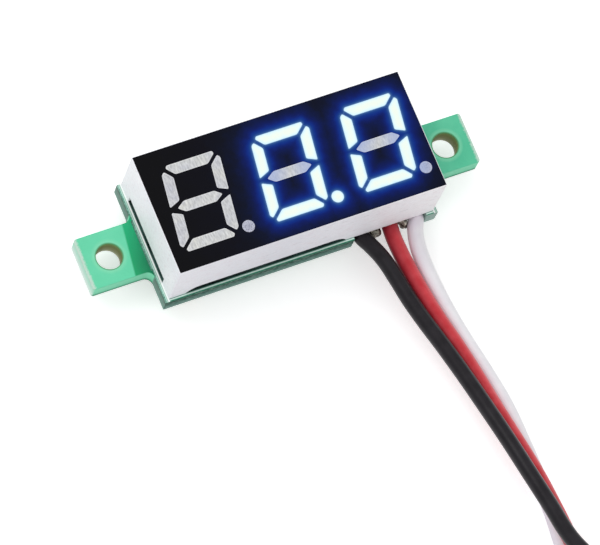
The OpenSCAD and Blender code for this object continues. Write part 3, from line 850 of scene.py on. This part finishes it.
def landTree():
    tree, given = startTree("partLands")
    box = addNode(tree, "GeometryNodeMeshCube", {"Size": (1, 1, 1)}).outputs[0]
    size = addNode(
        tree, "GeometryNodeInputNamedAttribute", {"Name": "landSize"}, data_type="FLOAT_VECTOR"
    ).outputs[0]
    inputs = {"Points": given["Geometry"], "Instance": box, "Scale": size}
    placed = addNode(tree, "GeometryNodeInstanceOnPoints", inputs).outputs[0]
    return endTree(tree, placed, given["finish"])


def pointMesh(name, spots, chains=()):
    mesh = bpy.data.meshes.new(name)
    mesh.from_pydata(spots, chains, [])
    return mesh


def grow(mesh, tree, sizes, material):
    piece = bpy.data.objects.new(mesh.name, mesh)
    scene.collection.objects.link(piece)
    modifier = piece.modifiers.new("grow", "NODES")
    modifier.node_group = tree
    for socket in tree.interface.items_tree:
        if socket.in_out == "INPUT" and socket.name in sizes:
            modifier[socket.identifier] = sizes[socket.name] * mm
        elif socket.in_out == "INPUT" and socket.name == "finish":
            modifier[socket.identifier] = material
    view = bpy.context.evaluated_depsgraph_get()
    made = bpy.data.meshes.new_from_object(piece.evaluated_get(view))
    made.name = mesh.name
    piece.modifiers.clear()
    piece.data = made
    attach(piece, "meter")


def islandBoxes(name):
    made = mergedCopy([name])
    left, boxes = set(made.verts), []
    for start in made.verts:
        if start not in left:
            continue
        left.discard(start)
        island = [start]
        for v in island:
            for edge in v.link_edges:
                other = edge.other_vert(v)
                if other in left:
                    left.discard(other)
                    island.append(other)
        spots = np.array([v.co for v in island])
        boxes.append((Vector(spots.min(axis=0)), Vector(spots.max(axis=0))))
    made.free()
    return boxes


def layCopper():
    settings = copperSettings
    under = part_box("circuit_board")[0][2]
    spots, chains, ends = [], [], []
    for trace in settings["traces"]:
        first = len(spots)
        spots += [(x * mm, y * mm, under) for x, y in trace]
        chains += [(i, i + 1) for i in range(first, len(spots) - 1)]
        ends += [spots[first], spots[-1]]
    masked = mottled("maskedCopper", shade(96, 190, 146), shade(112, 204, 160), 2, 0.35, 0.004)
    traces = pointMesh("copperTraces", spots, chains)
    grow(traces, traceTree(), settings["trace"], masked)
    grow(pointMesh("viaRings", ends), ringTree(), settings["via"], masked)
    boxes = islandBoxes("pin_solder") + islandBoxes("wire_solder")
    pins = [(low + high) / 2 for low, high in boxes]
    rings = pointMesh("ringPads", [(p.x, p.y, under) for p in pins])
    grow(rings, ringTree(), settings["ring"], tinned)
    lands, sizes = [], []
    for source, margin in settings["landMargins"].items():
        for low, high in islandBoxes(source):
            lands.append(((low.x + high.x) / 2, (low.y + high.y) / 2, under))
            sizes += [side + margin * 2 * mm for side in (high - low).xy]
            sizes.append(settings["landHeight"] * mm)
    mesh = pointMesh("partLands", lands)
    mesh.attributes.new("landSize", "FLOAT_VECTOR", "POINT").data.foreach_set("vector", sizes)
    grow(mesh, landTree(), {}, tinned)


layCopper()
print("panel meter: copper laid")

# solder lumps that run from the notch's back wall out between the leads
lumpSettings = {
    "lumps": [  # middle, half sizes, mm
        ((6.42, -4.42, 2.55), (0.52, 0.86, 0.5)),
        ((8.8, -4.42, 2.6), (0.42, 0.84, 0.46)),
        ((6.3, -4.85, 2.2), (0.36, 0.36, 0.3)),
        ((8.9, -4.9, 2.3), (0.3, 0.3, 0.28)),
    ],
    "swell": 0.16,
    "seed": 7,
}


def makeLumps():
    settings = lumpSettings
    chance = random.Random(settings["seed"])
    made = bmesh.new()
    for middle, half in settings["lumps"]:
        ball = bmesh.ops.create_icosphere(made, subdivisions=4, radius=1)["verts"]
        phases = [chance.uniform(0, 6.28) for _ in range(6)]
        for v in ball:
            p = v.co.copy()
            slow = math.sin(3.1 * p.x + phases[0]) * math.sin(2.7 * p.y + phases[1])
            quick = math.sin(6.3 * p.z + phases[2]) * math.sin(5.2 * p.x + phases[3])
            swell = 1 + settings["swell"] * (slow + 0.5 * quick)
            v.co = [(middle[i] + p[i] * half[i] * swell) * mm for i in range(3)]
    addPiece("notchSolder", made, fluxFinish(), smooth=True)


makeLumps()
print("panel meter: notch soldered")


# leads
leadSettings = {
    "length": 0.150,
    "diameter": 0.0013,
    "coilRadius": 6.5,  # innermost lane, mm
    "coilPitch": 1.34,
    "climbFrom": 105,  # degrees before a turn's end
    "climbTo": 62,
    "stepsPerTurn": 36,
    "conductor": 0.5,  # over the twisted strands, mm
    "strand": 0.18,
    "strandsRound": 6,  # round a straight one
    "strandTwist": 1.3,  # turns over the bare end
    "strandSteps": 24,
    "shadedFrom": -6,  # mm, where the display starts to shade the leads
    "shadedFull": -4.9,
    "lanes": {"white": 0, "red": 1, "black": 2},
    "routes": {
        "white": [
            (9.9, -4.295, 2.7), (9.9, -4.85, 2.7), (9.56, -5.6, 2.66), (9.24, -7, 2.5),
            (9.22, -8.85, 2.25), (9.44, -10.9, 1.85), (9.75, -12.95, 1.5), (10.2, -15.2, 1.15),
            (10.8, -18, 0.85), (11.25, -21, 0.68), (11.35, -24, 0.65), (11.35, -27, 0.65),
            (11.25, -30, 0.65), (10.95, -33, 0.65), (10.7, -36, 0.65), (10.8, -39, 0.65),
            (10.9, -42, 0.65), (10.9, -45, 0.65), (10.9, -48, 0.65),
        ],
        "red": [
            (7.7, -4.295, 2.7), (7.7, -4.85, 2.7), (7.64, -5.6, 2.68), (7.68, -7, 2.6),
            (7.85, -8.85, 2.5), (8.14, -10.9, 2.35), (8.53, -12.95, 2.15), (9.08, -15.2, 1.92),
            (9.65, -18, 1.68), (10.12, -21, 1.55), (10.55, -24, 1.72), (10.92, -27, 1.92),
            (11.15, -30, 1.99), (11.35, -33, 1.97), (11.75, -35.5, 1.7), (12.15, -38, 1.15),
            (12.24, -40.3, 0.75), (12.24, -42.5, 0.65), (12.24, -45, 0.65), (12.24, -48, 0.65),
        ],
        "black": [
            (5.15, -4.295, 2.7), (5.22, -4.85, 2.7), (5.66, -5.8, 2.7), (6.14, -7.1, 2.7),
            (6.48, -8.85, 2.7), (6.8, -10.9, 2.68), (7.26, -12.95, 2.65), (7.85, -15.2, 2.6),
            (8.5, -18, 2.58), (9.1, -21, 2.62), (9.6, -24, 2.84), (10, -27, 3.15),
            (10.45, -30, 3.32), (10.95, -33, 3.3), (12, -35.5, 3.05), (12.9, -38, 2.32),
            (13.45, -40.3, 1.35), (13.58, -42.3, 0.8), (13.58, -44, 0.65), (13.58, -46, 0.65),
            (13.58, -48, 0.65),
        ],
    },
    "colors": {  # two tones of the base, left side, right side; the sides are painted shade and light, darker on the left, lighter on the right except for the black lead, whose right edge is painted darker
        "white": ((240, 237, 243), (247, 245, 249), (226, 216, 228), (252, 252, 254)),
        "red": ((200, 50, 58), (216, 72, 80), (130, 14, 34), (232, 106, 112)),
        "black": ((28, 25, 30), (40, 37, 42), (14, 11, 16), (10, 9, 12)),
    },
    "sheens": {  # weight, roughness of the surface, tint
        "white": (0.1, 0.42, (1, 1, 1, 1)),
        "red": (0.3, 0.4, (1, 0.75, 0.8, 1)),
        "black": (0.08, 0.34, (0.75, 0.7, 0.85, 1)),
    },
}


def insulation(color):
    settings = leadSettings
    first, second, left, right = (shade(*tone) for tone in settings["colors"][color])
    weight, roughness, tint = settings["sheens"][color]
    finish = Finish(
        color + "Insulation", roughness, Sheen_Weight=weight, Sheen_Roughness=0.4,
        Sheen_Tint=tint, Specular_IOR_Level=0.24,
    )
    base = finish.mix(finish.noise(0.9, 3), first, second)
    # painted shading across each lead by which way its surface faces: darker on the left; on the
    # right lighter for red and white, darker for black
    across = finish.outward()[0]
    base = finish.mix(finish.ramp(across, 0.1, -0.9, 0, 0.6), base, left)
    base = finish.mix(finish.ramp(across, 0.1, 0.9, 0, 0.6), base, right)
    y = finish.split(finish.place)[1]
    # painted shade: the leads are darkened towards the display, standing in for its shadow
    shaded = finish.ramp(y, settings["shadedFrom"] * mm, settings["shadedFull"] * mm, 0, 0.7)
    finish.link(finish.mix(shaded, base, left))
    finish.bump(finish.noise(3.5, 2, 0, 1), 0.012, 0.6)
    return finish.material


def tubeCurve(name, radius, resolution, material):
    curve = bpy.data.curves.new(name, "CURVE")
    curve.dimensions = "3D"
    curve.bevel_depth = radius
    curve.bevel_resolution = resolution
    curve.use_fill_caps = True
    curve.materials.append(material)
    tube = bpy.data.objects.new(name, curve)
    scene.collection.objects.link(tube)
    return tube, curve


def laneRadius(color):
    settings = leadSettings
    return (settings["coilRadius"] + settings["lanes"][color] * settings["coilPitch"]) * mm


def makeTip(color):
    settings = leadSettings
    low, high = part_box(color + "_tip")
    level = (low[2] + high[2]) / 2
    center = Vector(settings["routes"]["white"][-1]) * mm - Vector((laneRadius("white"), 0, 0))
    corners = [v.co for v in nodes[color + "_tip"].data.vertices]
    angles = [math.atan2(c.y - center.y, c.x - center.x) for c in corners]
    angles = np.unwrap(sorted(angles))
    start, end = max(angles), min(angles)
    steps, around = settings["strandSteps"], settings["strandsRound"]
    strands, curve = tubeCurve(color + "Strands", settings["strand"] / 2 * mm, 2, tinned)
    for strand in range(around + 1):
        spline = curve.splines.new("POLY")
        spline.points.add(steps)
        for i, point in enumerate(spline.points):
            angle = start + (end - start) * i / steps
            turned = 2 * math.pi * (strand / around + settings["strandTwist"] * i / steps)
            out = 0 if strand == around else (settings["conductor"] - settings["strand"]) / 2 * mm
            reach = laneRadius(color) + out * math.cos(turned)
            x = center.x + reach * math.cos(angle)
            y = center.y + reach * math.sin(angle)
            point.co = (x, y, level + out * math.sin(turned), 1)
    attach(strands, "meter")
    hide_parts(color + "_tip")
    return strands


def leadPoints(color):
    settings = leadSettings
    points = [Vector(p) * mm for p in settings["routes"][color]]
    run = sum((b - a).length for a, b in zip(points, points[1:]))
    radius = laneRadius(color)
    turns = (settings["length"] - run) / (2 * math.pi * radius)
    center = points[-1] - Vector((radius, 0, 0))
    steps = math.ceil(turns * settings["stepsPerTurn"])
    climbSpan = settings["climbFrom"] - settings["climbTo"]
    for i in range(1, steps + 1):
        turned = 360 * turns * i / steps
        layer, rest = divmod(turned, 360)
        climb = min(max((rest - 360 + settings["climbFrom"]) / climbSpan, 0), 1)
        height = (layer + climb * climb * (3 - 2 * climb)) * settings["coilPitch"] * mm
        angle = math.radians(-turned)
        offset = Vector((radius * math.cos(angle), radius * math.sin(angle), height))
        points.append(center + offset)
    return points


def makeLead(color):
    settings = leadSettings
    points = leadPoints(color)
    lead, curve = tubeCurve(color + "Lead", settings["diameter"] / 2, 6, insulation(color))
    curve.resolution_u = 5
    spline = curve.splines.new("BEZIER")
    spline.bezier_points.add(len(points) - 1)
    for knot, point in zip(spline.bezier_points, points):
        knot.co = point
        knot.handle_left_type = knot.handle_right_type = "AUTO"
    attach(lead, "meter")
    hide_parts(color + "_wire", color + "_coil")
    makeTip(color)


for color in leadSettings["lanes"]:
    makeLead(color)
print("panel meter: leads laid")
